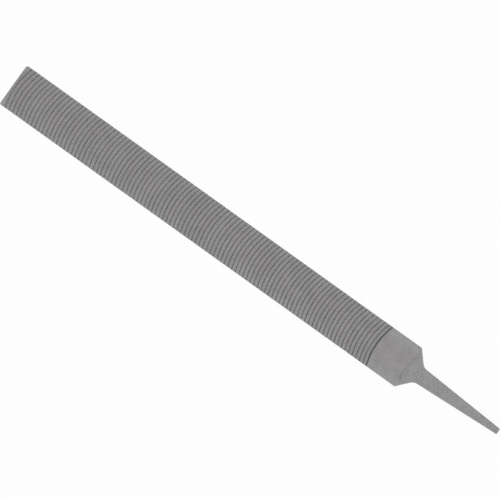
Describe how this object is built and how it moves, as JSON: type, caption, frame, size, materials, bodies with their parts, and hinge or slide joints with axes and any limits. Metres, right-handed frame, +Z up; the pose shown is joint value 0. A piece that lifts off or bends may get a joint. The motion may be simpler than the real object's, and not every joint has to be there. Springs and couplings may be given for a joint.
{
  "type": "curved tooth file",
  "caption": "Flat rigid file with curved milled teeth across both faces, smooth edges, a bare heel, sloping shoulders and a tapered tang for a handle.",
  "frame": {"origin": "centre of the file's length and width, on the plane that its lower face lies on", "axes": "+X along the file towards its point, with the tang at -X, +Y across its width, +Z up through its thickness"},
  "size_m": [0.3746, 0.0296, 0.0065],
  "materials": {
    "file_steel": "satin hardened tool steel, plain mid grey"
  },
  "bodies": {
    "root": {"tanged_file": "file_steel"}
  },
  "joints": []
}
